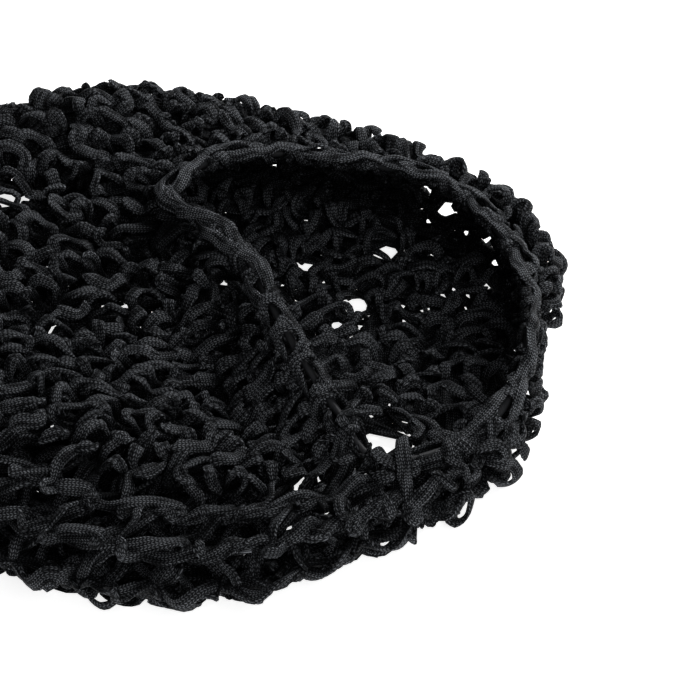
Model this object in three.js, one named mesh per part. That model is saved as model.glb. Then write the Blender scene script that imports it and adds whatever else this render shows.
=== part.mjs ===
// A crocheted hair net lying collapsed on its side, mouth up: a hollow net bag, the edging round its mouth
// and the round elastic inside the edging.
// Millimetres. X runs along the length of the bag, Y across it, away from the front, and Z is up from the
// surface it lies on. The origin is the middle of the underside.
import * as THREE from 'three';

// Driving dimensions of the net
const WALL = 4.6; // thickness of the crochet at a row of stitches
const RIB_RISE = 1.3; // how far a row of stitches stands out over the gaps on both sides of it
const KNUCKLE_RISE = 0.9; // extra rise of every second stitch along a row
const COLUMNS = 72; // stitch columns round the bag
const UPPER_ROWS = 16; // grid rows from the mouth to where the net meets the surface
const UNDER_ROWS = 11; // grid rows from there to the crown
const OPEN_EVERY = 6; // one stitch gap in this many columns is cut through
const OPEN_COURSES = [1, 2, 3, 4, 6, 8, 9, 10]; // courses whose gaps are cut through, counted from the mouth
const CROWN = { x: -52, y: 2 }; // where the rows close, on the underside
const MIDDLE = { x: -1, y: -0.6 }; // middle of the underside, which becomes the origin

// Driving dimensions of the edging and of the elastic in it
const BAND_WIDTH = 8;
const BAND_THICKNESS = 6.2;
const BAND_WALL = 1.3;
const ELASTIC_DIAMETER = 2.8;
const ELASTIC_SIDES = 6;
const BAND_SIDES = 8;
const HOLE_EVERY = 3; // one ladder hole in this many columns
const PIECE_GAP = 0.6; // between two pieces that touch in the real net

// The mouth and the outline, a row for each section round the bag, clockwise from the mouth's back left
// corner. rim: middle of the edging. edge: where the outline of the bag is widest on that section.
// dip: height of the net just behind the edging. hump: height of the net halfway to the outline.
const SECTIONS = [
  { rimX: -11, rimY: 39, rimZ: 42, edgeX: -94, edgeY: 94, dip: 35, hump: 43 },
  { rimX: 0, rimY: 58, rimZ: 43, edgeX: -44, edgeY: 113, dip: 41, hump: 44 },
  { rimX: 21, rimY: 66, rimZ: 42, edgeX: -3, edgeY: 111, dip: 41, hump: 41 },
  { rimX: 44, rimY: 64, rimZ: 41, edgeX: 32, edgeY: 102, dip: 40, hump: 38 },
  { rimX: 67, rimY: 60, rimZ: 40, edgeX: 65, edgeY: 88, dip: 39, hump: 37 },
  { rimX: 87, rimY: 50, rimZ: 39, edgeX: 96, edgeY: 67, dip: 38, hump: 36 },
  { rimX: 100, rimY: 32, rimZ: 38, edgeX: 117, edgeY: 45, dip: 37, hump: 34 },
  { rimX: 107, rimY: 10, rimZ: 36, edgeX: 125, edgeY: 19, dip: 35, hump: 32 },
  { rimX: 110, rimY: -12, rimZ: 34, edgeX: 115, edgeY: -10, dip: 33, hump: 29 },
  { rimX: 107, rimY: -34, rimZ: 31, edgeX: 113, edgeY: -37, dip: 30, hump: 27 },
  { rimX: 97, rimY: -54, rimZ: 28, edgeX: 100, edgeY: -59, dip: 27, hump: 25 },
  { rimX: 80, rimY: -66, rimZ: 26, edgeX: 83, edgeY: -78, dip: 26, hump: 24 },
  { rimX: 59, rimY: -71, rimZ: 27, edgeX: 56, edgeY: -97, dip: 26, hump: 25 },
  { rimX: 46, rimY: -57, rimZ: 34, edgeX: 18, edgeY: -114, dip: 24, hump: 27 },
  { rimX: 34, rimY: -37, rimZ: 39, edgeX: -33, edgeY: -111, dip: 22, hump: 30 },
  { rimX: 25, rimY: -17, rimZ: 42, edgeX: -87, edgeY: -83, dip: 23, hump: 33 },
  { rimX: 17, rimY: 5, rimZ: 42, edgeX: -123, edgeY: -28, dip: 27, hump: 36 },
  { rimX: 5, rimY: 23, rimZ: 42, edgeX: -126, edgeY: 39, dip: 31, hump: 40 },
];

// A section from the mouth to the outline and under it. along: share of the way from rim to edge.
// hump, dip, rim: what the height is worked out from at that place.
const PROFILE = [
  { along: 0, rim: 1, dip: 0, hump: 0 },
  { along: 0.17, rim: 0, dip: 1, hump: 0 },
  { along: 0.36, rim: 0, dip: 0.45, hump: 0.5 },
  { along: 0.62, rim: 0, dip: 0, hump: 1 },
  { along: 0.9, rim: 0, dip: 0, hump: 0.8 },
  { along: 1, rim: 0, dip: 0, hump: 0.4 },
];
const CONTACT_INSET = 13; // from the outline in to where the net meets the surface
const SETTLED_INSET = 22; // from the outline in to where it lies quite flat
const LIES_FLAT_BELOW = 0.4; // net lower than this lies on the surface
const SPAN_SAMPLES = 20; // samples from one place of a section to the next
const SPACING_SAMPLES = 400; // samples for dividing a section into rows
const TURN_CROWDING = 1.6; // how much closer the rows lie where the net turns under
const TURN_REACH = 18; // how far from the outline they do

// Humps and hollows of the collapsed net. rise is negative for a hollow; radii are along X and Y.
const FOLDS = [
  { x: -48, y: 76, radiusX: 42, radiusY: 20, rise: 5 },
  { x: -70, y: -8, radiusX: 46, radiusY: 12, rise: -5 },
  { x: -62, y: 30, radiusX: 40, radiusY: 12, rise: 3 },
  { x: -30, y: -62, radiusX: 50, radiusY: 13, rise: 4 },
  { x: 6, y: -84, radiusX: 46, radiusY: 8, rise: -2 },
  { x: 18, y: -30, radiusX: 16, radiusY: 26, rise: -2 },
];
const FOLD_FLOOR = 16; // a fold moves nothing that lies lower than this
const FOLD_FULL = 24; // and has its full rise from this height up

const BLACK_RIBBON = { color: 0x17181a, roughness: 0.78, metalness: 0 };
const BLACK_EDGING = { color: 0x1d1e21, roughness: 0.74, metalness: 0 };
const BLACK_ELASTIC = { color: 0x2a2b2f, roughness: 0.5, metalness: 0 };

// Curves round the bag through one value of every section
function ringCurve(toPoint) {
  return new THREE.CatmullRomCurve3(SECTIONS.map(toPoint), true, 'centripetal');
}

const rimRing = ringCurve((s) => new THREE.Vector3(s.rimX, s.rimY, s.rimZ));
const edgeRing = ringCurve((s) => new THREE.Vector3(s.edgeX, s.edgeY, 0));
const heightRing = ringCurve((s) => new THREE.Vector3(s.dip, s.hump, 0));

function foldRise(x, y, z) {
  const room = THREE.MathUtils.smoothstep(z, FOLD_FLOOR, FOLD_FULL);
  let rise = 0;
  for (const fold of FOLDS) {
    const away = ((x - fold.x) / fold.radiusX) ** 2 + ((y - fold.y) / fold.radiusY) ** 2;
    rise += fold.rise * Math.exp(-away);
  }
  return rise * room;
}

// One section as evenly spaced points: upper part from the mouth to the outline, then in to the crown
function sectionCurve(round) {
  const rim = rimRing.getPoint(round);
  const edge = edgeRing.getPoint(round);
  const heights = heightRing.getPoint(round);
  const points = PROFILE.map((p) => {
    const x = THREE.MathUtils.lerp(rim.x, edge.x, p.along);
    const y = THREE.MathUtils.lerp(rim.y, edge.y, p.along);
    const z = p.rim * rim.z + p.dip * heights.x + p.hump * heights.y;
    return new THREE.Vector3(x, y, p.rim ? z : z + foldRise(x, y, z));
  });
  const crown = new THREE.Vector3(CROWN.x, CROWN.y, 0);
  const inward = new THREE.Vector3().subVectors(crown, edge);
  const reach = inward.length();
  inward.normalize();
  const underPlaces = [CONTACT_INSET, SETTLED_INSET, reach / 2, reach];
  const under = underPlaces.map((place) => edge.clone().addScaledVector(inward, place));
  const whole = new THREE.CatmullRomCurve3([...points, ...under], false, 'centripetal');
  const spans = points.length + under.length - 1;
  whole.arcLengthDivisions = spans * SPAN_SAMPLES;
  const lengths = whole.getLengths();
  const outlinePlace = lengths[(points.length - 1) * SPAN_SAMPLES];
  const contactPlace = lengths[points.length * SPAN_SAMPLES];
  return { whole, outlinePlace, contactPlace };
}

// Places from start to end along a section, closer together near the outline
function rowPlaces(start, end, outlinePlace, rows) {
  const step = (end - start) / SPACING_SAMPLES;
  const total = [0];
  for (let n = 0; n < SPACING_SAMPLES; n += 1) {
    const away = (start + step * (n + 0.5) - outlinePlace) / TURN_REACH;
    total.push(total[n] + 1 + TURN_CROWDING * Math.exp(-away * away));
  }
  const places = [];
  for (let j = 0; j <= rows; j += 1) {
    const wanted = (total[SPACING_SAMPLES] * j) / rows;
    const n = Math.max(1, total.findIndex((value) => value >= wanted));
    const part = (wanted - total[n - 1]) / (total[n] - total[n - 1]);
    places.push(start + step * (n - 1 + part));
  }
  return places;
}

// Points of the outer surface on one section, a row each
function sectionPoints(round) {
  const { whole, outlinePlace, contactPlace } = sectionCurve(round);
  const length = whole.getLength();
  const start = BAND_WIDTH / 2 + PIECE_GAP;
  const upper = rowPlaces(start, contactPlace, outlinePlace, UPPER_ROWS);
  const under = rowPlaces(contactPlace, length, outlinePlace, UNDER_ROWS).slice(1);
  const points = [...upper, ...under].map((place) => whole.getPointAt(Math.min(1, place / length)));
  for (const point of points) {
    if (point.z < LIES_FLAT_BELOW) point.z = 0;
  }
  const rim = whole.getPointAt(0);
  const toward = whole.getTangentAt(0);
  points[0].copy(rim).addScaledVector(toward, start);
  return { points, rim, toward };
}

const sections = [];
for (let i = 0; i < COLUMNS; i += 1) sections.push(sectionPoints(i / COLUMNS));
const ROWS = UPPER_ROWS + UNDER_ROWS;

function wrap(i) {
  return (i + COLUMNS) % COLUMNS;
}

// Out of the net at the mouth, square to the edging and to the section
function mouthNormal(i) {
  const along = new THREE.Vector3().subVectors(sections[wrap(i + 1)].rim, sections[wrap(i - 1)].rim);
  return along.cross(sections[i].toward).normalize();
}

function outwardNormal(i, j) {
  if (j === 0) return mouthNormal(i);
  const here = sections[i].points;
  const ahead = sections[wrap(i + 1)].points[j];
  const behind = sections[wrap(i - 1)].points[j];
  const along = new THREE.Vector3().subVectors(ahead, behind);
  const down = new THREE.Vector3().subVectors(here[Math.min(ROWS - 1, j + 1)], here[Math.max(0, j - 1)]);
  return along.cross(down).normalize();
}

// Rise at a grid point: every second grid row is a course of stitches, and its knuckles are staggered
function stitchRise(i, j) {
  if (j === 0) return 0;
  if (j % 2 === 1) return -RIB_RISE;
  const course = j / 2;
  return (i + course) % 2 === 0 ? KNUCKLE_RISE : 0;
}

function isOpen(i, j) {
  const course = Math.floor(j / 2);
  if (j % 2 !== 1 || !OPEN_COURSES.includes(course)) return false;
  const shift = (course % 2) * (OPEN_EVERY / 2);
  return (i + shift) % OPEN_EVERY === 0;
}

// Collects corner points and triangles of one closed body
class Body {
  constructor() {
    this.positions = [];
    this.indices = [];
  }

  point(vector) {
    this.positions.push(vector.x, vector.y, vector.z);
    return this.positions.length / 3 - 1;
  }

  quad(a, b, c, d) {
    this.indices.push(a, b, c, a, c, d);
  }

  triangle(a, b, c) {
    this.indices.push(a, b, c);
  }

  mesh(name, look) {
    const geometry = new THREE.BufferGeometry();
    geometry.setAttribute('position', new THREE.Float32BufferAttribute(this.positions, 3));
    geometry.setIndex(this.indices);
    geometry.computeVertexNormals();
    const mesh = new THREE.Mesh(geometry, new THREE.MeshStandardMaterial(look));
    mesh.name = name;
    return mesh;
  }
}

function makeNetBag() {
  const body = new Body();
  const outer = [];
  const inner = [];
  for (let i = 0; i < COLUMNS; i += 1) {
    outer.push([]);
    inner.push([]);
    for (let j = 0; j < ROWS; j += 1) {
      const base = sections[i].points[j];
      const normal = outwardNormal(i, j);
      const out = base.clone();
      if (base.z > 0) out.addScaledVector(normal, stitchRise(i, j));
      out.z = Math.max(0, out.z);
      outer[i].push(body.point(out));
      inner[i].push(body.point(base.clone().addScaledVector(normal, -WALL)));
    }
  }
  for (let i = 0; i < COLUMNS; i += 1) {
    const next = wrap(i + 1);
    body.quad(outer[i][0], inner[i][0], inner[next][0], outer[next][0]);
    for (let j = 0; j < ROWS - 1; j += 1) {
      const above = [outer[i][j], outer[next][j], outer[next][j + 1], outer[i][j + 1]];
      const below = [inner[i][j], inner[next][j], inner[next][j + 1], inner[i][j + 1]];
      if (isOpen(i, j)) {
        for (let side = 0; side < above.length; side += 1) {
          const following = (side + 1) % above.length;
          body.quad(above[side], above[following], below[following], below[side]);
        }
      } else {
        body.quad(...above);
        body.quad(...below.reverse());
      }
    }
  }
  const crownOut = body.point(new THREE.Vector3(CROWN.x, CROWN.y, 0));
  const crownIn = body.point(new THREE.Vector3(CROWN.x, CROWN.y, WALL));
  for (let i = 0; i < COLUMNS; i += 1) {
    const next = wrap(i + 1);
    body.triangle(outer[i][ROWS - 1], outer[next][ROWS - 1], crownOut);
    body.triangle(inner[next][ROWS - 1], inner[i][ROWS - 1], crownIn);
  }
  return body.mesh('net_bag', BLACK_RIBBON);
}

// The edging's own directions on a section: across the band and out of the net, about the band's middle
function bandFrame(i) {
  const { rim, toward } = sections[i];
  const out = mouthNormal(i);
  const middle = rim.clone().addScaledVector(out, -WALL / 2);
  return { middle, across: toward, out };
}

// A closed ring of ovals about the mouth
function ovalRing(body, halfAcross, halfOut, sides) {
  const rings = [];
  for (let i = 0; i < COLUMNS; i += 1) {
    const { middle, across, out } = bandFrame(i);
    const flat = 1 / Math.cos(Math.PI / sides);
    rings.push([]);
    for (let k = 0; k < sides; k += 1) {
      const turn = ((k + 0.5) * 2 * Math.PI) / sides;
      const corner = middle.clone().addScaledVector(across, Math.cos(turn) * halfAcross * flat);
      corner.addScaledVector(out, Math.sin(turn) * halfOut * flat);
      rings[i].push(body.point(corner));
    }
  }
  return rings;
}

// Faces of a ring of ovals, turned in for a bore; skip leaves out the faces of a hole
function closeRing(body, rings, sides, inward, skip) {
  for (let i = 0; i < COLUMNS; i += 1) {
    const next = wrap(i + 1);
    for (let k = 0; k < sides; k += 1) {
      const following = (k + 1) % sides;
      if (skip(i, k)) continue;
      const face = [rings[i][k], rings[i][following], rings[next][following], rings[next][k]];
      body.quad(...(inward ? face.reverse() : face));
    }
  }
}

function makeEdgeBand() {
  const body = new Body();
  const holeSide = Math.floor(BAND_SIDES / 4); // the face on top of the band, toward the mouth
  const isHole = (i, k) => i % HOLE_EVERY === 0 && k === holeSide;
  const skin = ovalRing(body, BAND_WIDTH / 2, BAND_THICKNESS / 2, BAND_SIDES);
  const bore = ovalRing(body, BAND_WIDTH / 2 - BAND_WALL, BAND_THICKNESS / 2 - BAND_WALL, BAND_SIDES);
  closeRing(body, skin, BAND_SIDES, false, isHole);
  closeRing(body, bore, BAND_SIDES, true, isHole);
  for (let i = 0; i < COLUMNS; i += HOLE_EVERY) {
    const next = wrap(i + 1);
    const far = holeSide + 1;
    const above = [skin[i][holeSide], skin[i][far], skin[next][far], skin[next][holeSide]];
    const below = [bore[i][holeSide], bore[i][far], bore[next][far], bore[next][holeSide]];
    for (let side = 0; side < above.length; side += 1) {
      const following = (side + 1) % above.length;
      body.quad(above[side], above[following], below[following], below[side]);
    }
  }
  return body.mesh('edge_band', BLACK_EDGING);
}

function makeElastic() {
  const body = new Body();
  const rings = ovalRing(body, ELASTIC_DIAMETER / 2, ELASTIC_DIAMETER / 2, ELASTIC_SIDES);
  closeRing(body, rings, ELASTIC_SIDES, false, () => false);
  return body.mesh('elastic_cord', BLACK_ELASTIC);
}

const hairNet = new THREE.Group();
hairNet.name = 'hair_net';
hairNet.add(makeNetBag(), makeEdgeBand(), makeElastic());
hairNet.position.set(-MIDDLE.x, -MIDDLE.y, 0);

export default hairNet;
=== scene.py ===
"""A black crocheted hair net that lies collapsed on a pale table with its mouth up.

The net is flat knitted ribbon, crocheted in rows that follow the outline of the bag. Round the mouth runs
a ladder of the same ribbon with a round elastic in it. Sizes are in millimetres until a mesh is made.
"""

import math
from collections import namedtuple

import bmesh
import bpy
import numpy as np
from bpy.props import FloatProperty, FloatVectorProperty, IntProperty, PointerProperty
from bpy.types import Operator, Panel, PropertyGroup
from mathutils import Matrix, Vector


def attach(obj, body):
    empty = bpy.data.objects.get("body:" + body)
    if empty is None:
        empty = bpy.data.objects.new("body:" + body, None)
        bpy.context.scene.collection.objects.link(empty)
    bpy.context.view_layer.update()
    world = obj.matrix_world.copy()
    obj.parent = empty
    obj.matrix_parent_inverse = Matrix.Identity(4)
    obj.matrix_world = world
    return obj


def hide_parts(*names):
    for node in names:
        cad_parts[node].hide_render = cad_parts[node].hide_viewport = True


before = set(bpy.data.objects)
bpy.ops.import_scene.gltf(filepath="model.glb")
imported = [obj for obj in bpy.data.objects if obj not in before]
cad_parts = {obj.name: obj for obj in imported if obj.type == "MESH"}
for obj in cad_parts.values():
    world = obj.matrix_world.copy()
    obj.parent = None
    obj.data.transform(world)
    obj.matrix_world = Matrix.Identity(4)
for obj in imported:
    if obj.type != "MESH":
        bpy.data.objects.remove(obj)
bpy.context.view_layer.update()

bl_info = {
    "name": "Crocheted Hair Net",
    "version": (1, 0, 0),
    "blender": (4, 5, 0),
    "location": "3D View > Sidebar > Hair Net",
    "description": "Crochets a ribbon hair net with an elastic mouth over its CAD solids",
    "category": "Object",
}

MM = 0.001
BODY = "root"

# The bag, section by section, clockwise seen from above from the back left corner of the mouth.
# rim: middle of the edging. edge: where the outline is widest. dip: height just behind the edging.
# hump: height halfway to the outline.
Section = namedtuple("Section", "rim_x rim_y rim_z edge_x edge_y dip hump")
SECTIONS = [
    Section(-11, 39, 42, -94, 94, 35, 43),
    Section(0, 58, 43, -44, 113, 41, 44),
    Section(21, 66, 42, -3, 111, 41, 41),
    Section(44, 64, 41, 32, 102, 40, 38),
    Section(67, 60, 40, 65, 88, 39, 37),
    Section(87, 50, 39, 96, 67, 38, 36),
    Section(100, 32, 38, 117, 45, 37, 34),
    Section(110, 10, 36, 122, 19, 35, 32),
    Section(112, -12, 34, 113, -10, 33, 29),
    Section(108, -34, 31, 111, -38, 30, 27),
    Section(98, -54, 28, 103, -60, 27, 25),
    Section(80, -66, 26, 83, -78, 26, 24),
    Section(59, -71, 27, 56, -97, 26, 25),
    Section(46, -57, 34, 18, -114, 24, 27),
    Section(34, -37, 39, -33, -111, 22, 30),
    Section(25, -17, 42, -87, -83, 23, 33),
    Section(17, 5, 42, -123, -28, 27, 36),
    Section(5, 23, 42, -126, 39, 31, 40),
]

# Along one section from the mouth to the outline: share of the way, and what its height is made of
Place = namedtuple("Place", "along rim dip hump")
PROFILE = [
    Place(0, 1, 0, 0),
    Place(0.17, 0, 1, 0),
    Place(0.36, 0, 0.45, 0.5),
    Place(0.62, 0, 0, 1),
    Place(0.9, 0, 0, 0.8),
    Place(1, 0, 0, 0.4),
]

# Humps and hollows of the collapsed bag, which fade out between these two heights near the table
Fold = namedtuple("Fold", "x y radius_x radius_y rise")
FOLDS = [
    Fold(-48, 76, 42, 20, 5),
    Fold(-70, -8, 46, 12, -5),
    Fold(-62, 30, 40, 12, 3),
    Fold(-30, -62, 50, 13, 4),
    Fold(6, -84, 46, 8, -2),
    Fold(18, -30, 16, 26, -2),
]
FOLD_FLOOR = 16
FOLD_FULL = 24
# Where the rows close under the bag, and the shift that brings the middle of the underside to the origin
CROWN = np.array([-52.0, 2.0, 0.0])
TABLE_SHIFT = np.array([1.0, 0.6, 0.0])
# How far in from the outline the bag meets the table, and lies flat on it
CONTACT_INSET = 13
SETTLED_INSET = 22
# Thickness of the bag's wall, and how deep under its surface the middle of a row lies
WALL = 4.6
ROW_DEPTH = 3.0

# How finely the surface is worked out: turns round the bag, steps between two places of a section, the places
# of the grid, from the outline toward the mouth and under the bag, and how near its end it is still read
TURNS = 480
SPAN_STEPS = 16
GRID_STEP = 1.5
GRID_REACH = 170
GRID_UNDER = 34
GRID_MARGIN = 0.001
TURN_SHARES = np.arange(TURNS) / TURNS
UP_AXIS = np.array([0.0, 0.0, 1.0])
# Lengths and bends under these count as none
TINY = 1e-9
SMALL = 1e-6
# Power of a squared distance that spaces a curve's knots
CENTRIPETAL = 0.25

# The folded crown: where its first row lies and how far in its rings would close, its height above the table,
# how far and how fast that rises and sinks, and how flat its stitches lie
UNDER_START = -2
UNDER_RADIUS = 105
UNDER_MIDDLE = 3.3
UNDER_SWELL = 0.6
UNDER_WAVES = (0.11, 0.13)
UNDER_PHASE = 1.0
UNDER_FLATNESS = 0.85
# How much wider its ribbon lies, by how many millimetres its painted depth shade is lightened, and the least
# and most share of the ring on the table that it reaches to
UNDER_SPREAD = 1.12
UNDER_PAINTED_LIGHT = 2.0
UNDER_LEAST = 0.01
UNDER_BEYOND = 1.045
TABLE_CLEARANCE = 0.1


def cubic(start, end, leave, arrive, share):
    """A share of the way along the curve that leaves start and arrives at end in these directions."""
    square = -3 * start + 3 * end - 2 * leave - arrive
    cube = 2 * start - 2 * end + leave + arrive
    return start + share * (leave + share * (square + share * cube))


def spline(before, start, end, after, share):
    """Centripetal Catmull-Rom between start and end."""

    def knot(first, second):
        return np.maximum(np.sum((second - first) ** 2, axis=-1, keepdims=True), TINY) ** CENTRIPETAL

    lead, span, tail = knot(before, start), knot(start, end), knot(end, after)
    leave = (start - before) / lead - (end - before) / (lead + span) + (end - start) / span
    arrive = (end - start) / span - (after - start) / (span + tail) + (after - end) / tail
    return cubic(start, end, leave * span, arrive * span, share)


def ring(columns):
    """A closed curve through the sections, at even turns."""
    points = np.array([[getattr(section, name) for name in columns] for section in SECTIONS], float)
    place = TURN_SHARES * len(points)
    first = np.floor(place).astype(int)
    corners = [points[(first + step) % len(points)] for step in (-1, 0, 1, 2)]
    return spline(*corners, (place - first)[:, None])


def round_bag(values, turn):
    """Values given at even turns round the bag, at any turn."""
    if values.ndim > 1:
        return np.column_stack([round_bag(column, turn) for column in values.T])
    return np.interp(turn % 1.0, TURN_SHARES, values, period=1.0)


def running_length(line, measure=1.0):
    """Length of a line from its start to each of its points, as a count of this measure."""
    return np.concatenate([[0], np.cumsum(np.linalg.norm(np.diff(line, axis=0), axis=1) / measure)])


def unit(vectors):
    """Vectors of length one in the same directions."""
    return vectors / np.maximum(np.linalg.norm(vectors, axis=-1, keepdims=True), TINY)


def beside(vectors, directions):
    """What is left of vectors when they have nothing along these directions."""
    return vectors - directions * np.sum(vectors * directions, axis=1, keepdims=True)


def blurred(values):
    """Four times each value, shared with its neighbours on both sides."""
    return np.roll(values, 1, 0) + values * 2 + np.roll(values, -1, 0)


def off_middle(points, place):
    """Squared distance from the middle of a place seen from above, in its own radii."""
    across = (points[:, 0] - place.x) / place.radius_x
    deep = (points[:, 1] - place.y) / place.radius_y
    return across**2 + deep**2


def fold_rise(points):
    """How much higher the folds lift each point."""
    room = np.clip((points[:, 2] - FOLD_FLOOR) / (FOLD_FULL - FOLD_FLOOR), 0, 1)
    rise = sum(fold.rise * np.exp(-off_middle(points, fold)) for fold in FOLDS)
    return rise * room * room * (3 - 2 * room)


def between(values, place):
    """Values of a table at fractional places along its second axis, a row of places for each turn."""
    low = np.clip(np.floor(place).astype(int), 0, values.shape[1] - 2)
    share = np.clip(place - low, 0, 1)[..., None]
    rows = np.arange(len(values))[:, None]
    return values[rows, low] * (1 - share) + values[rows, low + 1] * share


class BagSurface:
    """The outer surface of the bag, from its mouth over the outline to where it lies on the table."""

    def __init__(self):
        rim = ring(("rim_x", "rim_y", "rim_z"))
        edge = np.column_stack([ring(("edge_x", "edge_y")), np.zeros(TURNS)])
        heights = ring(("dip", "hump"))
        controls = []
        for place in PROFILE:
            point = rim * (1 - place.along) + edge * place.along
            point[:, 2] = place.rim * rim[:, 2] + place.dip * heights[:, 0] + place.hump * heights[:, 1]
            if not place.rim:
                point[:, 2] += fold_rise(point)
            controls.append(point)
        inward = CROWN - edge
        reach = np.linalg.norm(inward, axis=1, keepdims=True)
        inward = inward / reach
        for inset in (CONTACT_INSET, SETTLED_INSET, reach / 2, reach):
            controls.append(edge + inward * inset)
        line = self.section_lines(controls)
        lengths = np.stack([running_length(section) for section in line])
        outline = (len(PROFILE) - 1) * SPAN_STEPS
        self.reach = lengths[:, outline]
        self.contact_ring = line[:, outline + SPAN_STEPS] + TABLE_SHIFT
        self.rim = line[:, 0] + TABLE_SHIFT
        self.toward = unit(line[:, 1] - line[:, 0])
        self.mouth_out = unit(np.cross(np.roll(rim, -1, 0) - np.roll(rim, 1, 0), self.toward))
        self.places = np.arange(-GRID_REACH, GRID_UNDER, GRID_STEP)
        wanted = np.clip(self.reach[:, None] + self.places, 0, None)
        steps = np.stack([np.interp(wanted[n], lengths[n], np.arange(line.shape[1])) for n in range(TURNS)])
        self.points = between(line, steps) + TABLE_SHIFT
        along = np.roll(self.points, -1, 0) - np.roll(self.points, 1, 0)
        ahead = between(line, np.clip(steps + 1, 1, line.shape[1] - 1))
        behind = between(line, np.clip(steps - 1, 0, line.shape[1] - 2))
        self.normals = unit(np.cross(along, ahead - behind))

    def section_lines(self, controls):
        """Smooth open curves through the control points of every section."""
        points = [2 * controls[0] - controls[1]] + controls + [2 * controls[-1] - controls[-2]]
        line = []
        for span in range(len(controls) - 1):
            for step in range(SPAN_STEPS):
                line.append(spline(*points[span : span + 4], step / SPAN_STEPS))
        line.append(controls[-1])
        return np.stack(line, axis=1)

    def read(self, grid, turn, place):
        """A grid's value at a turn round the bag and a place from the outline, positive under the bag."""
        across = (turn % 1.0) * TURNS
        left = np.floor(across).astype(int) % TURNS
        side = (across - np.floor(across))[:, None]
        down = np.clip((place - self.places[0]) / GRID_STEP, 0, len(self.places) - 1 - GRID_MARGIN)
        top = down.astype(int)
        share = (down - top)[:, None]
        right = (left + 1) % TURNS
        near = grid[left, top] * (1 - share) + grid[left, top + 1] * share
        far = grid[right, top] * (1 - share) + grid[right, top + 1] * share
        return near * (1 - side) + far * side


BAG = BagSurface()

# Rows lie further apart along the front: between which sections, how much further, and how many of them
FRONT_SECTIONS = (11.5, 12.6, 14.8, 15.8)
FRONT_EXTRA = 0.40
FRONT_ROWS = 3
# Their stitches are long in front of this line, over this depth to the full
FRONT_LINE = -64
FRONT_BLEND = 8
# How far the outline bulges between the long stitches, and the last row that it does
SCALLOP = 1.8
SCALLOPED_ROW = 0


def row_distance(number):
    """Distance of a row from the outline at every turn, toward the mouth, in row heights."""
    front = np.interp(TURN_SHARES * len(SECTIONS), FRONT_SECTIONS, (0, 1, 1, 0))
    return number + FRONT_EXTRA * front * np.clip(number, 0, FRONT_ROWS)


class UpperRow:
    """A row of stitches round the bag, counted from the outline toward the mouth."""

    # Whether the row lies on the table, millimetres that lighten its painted depth shade, and how much wider
    # its ribbon lies
    folded = False
    lift = 0.0
    spread = 1.0

    def __init__(self, number, height):
        self.number = number
        self.distance = row_distance(number) * height
        self.height = row_distance(number + 1) * height - self.distance

    def middle(self, turn, up):
        """Points in the middle of the net, this far up from the row, and the directions out of it."""
        place = -(round_bag(self.distance, turn) + up)
        normal = unit(BAG.read(BAG.normals, turn, place))
        beyond = np.maximum(up - self.room(turn), 0)[:, None] * round_bag(BAG.toward, turn)
        return BAG.read(BAG.points, turn, place) - normal * ROW_DEPTH - beyond, normal

    def rise(self, turn):
        """From this row to the next, or to the edging from the last."""
        usual = round_bag(self.height, turn)
        left = self.limit(turn) / HEAD_HEIGHT
        return np.where(self.room(turn) < usual * (1 + SHORTEST_ROW), np.maximum(left, SHORTEST_RISE), usual)

    def limit(self, turn):
        """How far up from the row its stitches may go."""
        cover = mouth_cover(turn)
        return self.room(turn) - MOUTH_ROOM * (1 - cover) - COVER_ROOM * cover

    def room(self, turn):
        """How much net lies between the row and the mouth."""
        return round_bag(BAG.reach - self.distance, turn)


class UnderRow:
    """A ring of stitches on the table, at one distance in from where the bag meets it."""

    folded = True
    # Its ribbon is painted lighter, as if it lay this many millimetres further out of the net
    lift = UNDER_PAINTED_LIGHT
    spread = UNDER_SPREAD

    def __init__(self, number, height):
        self.number = number
        self.inset = UNDER_START + number * height
        self.height = height

    def middle(self, turn, up):
        """Points in the middle of the folded net, this far in from the ring, and the directions out of it."""
        share = np.clip(1 - (self.inset + up) / UNDER_RADIUS, UNDER_LEAST, UNDER_BEYOND)
        point = round_bag(BAG.contact_ring, turn) * share[:, None]
        wave_x, wave_y = UNDER_WAVES
        swell = np.sin(point[:, 0] * wave_x + UNDER_PHASE) * np.sin(point[:, 1] * wave_y)
        point[:, 2] = UNDER_MIDDLE + UNDER_SWELL * swell
        return point, np.tile(UP_AXIS * UNDER_FLATNESS, (len(point), 1))

    def rise(self, turn):
        return np.full(len(turn), self.height)

    def room(self, turn):
        return np.full(len(turn), float(UNDER_RADIUS))

    def limit(self, turn):
        return self.room(turn)


# Three kinds of stitch, as the ribbon runs through them. along: shares of a stitch's length. up: shares of a
# row's height, toward the next row. out: millimetres out of the net. face: which way the flat of the ribbon
# looks. width: shares of the ribbon's width.
Step = namedtuple("Step", "along up out face_along face_up face_out width")
LEANING_STITCH = [
    Step(-0.34, -0.02, -1.6, 0.0, -0.3, 1.0, 0.8),
    Step(-0.26, 0.22, 1.4, 0.0, -0.3, 1.0, 0.95),
    Step(-0.10, 0.56, 3.6, 0.0, 0.0, 1.0, 1.1),
    Step(0.04, 0.92, 2.4, 0.0, 0.4, 1.0, 1.0),
    Step(0.10, 1.16, -0.6, 0.0, 1.0, 0.0, 0.85),
    Step(0.17, 1.00, -3.0, 0.0, 0.2, -1.0, 0.85),
    Step(0.16, 0.72, -2.6, 0.0, -0.2, -1.0, 1.0),
    Step(0.04, 0.42, -2.4, 0.0, 0.0, -1.0, 1.05),
    Step(-0.12, 0.10, -2.8, 0.0, 0.0, -1.0, 0.95),
    Step(-0.14, -0.18, -0.8, 0.0, -1.0, -0.2, 0.8),
    Step(0.06, -0.14, 2.4, 0.0, -0.6, 0.8, 0.95),
    Step(0.26, 0.02, 3.8, 0.2, 0.1, 1.0, 1.1),
    Step(0.42, 0.12, 1.2, 0.4, 0.2, 1.0, 0.95),
    Step(0.54, 0.02, -1.8, 0.2, -0.2, 1.0, 0.85),
]
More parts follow.
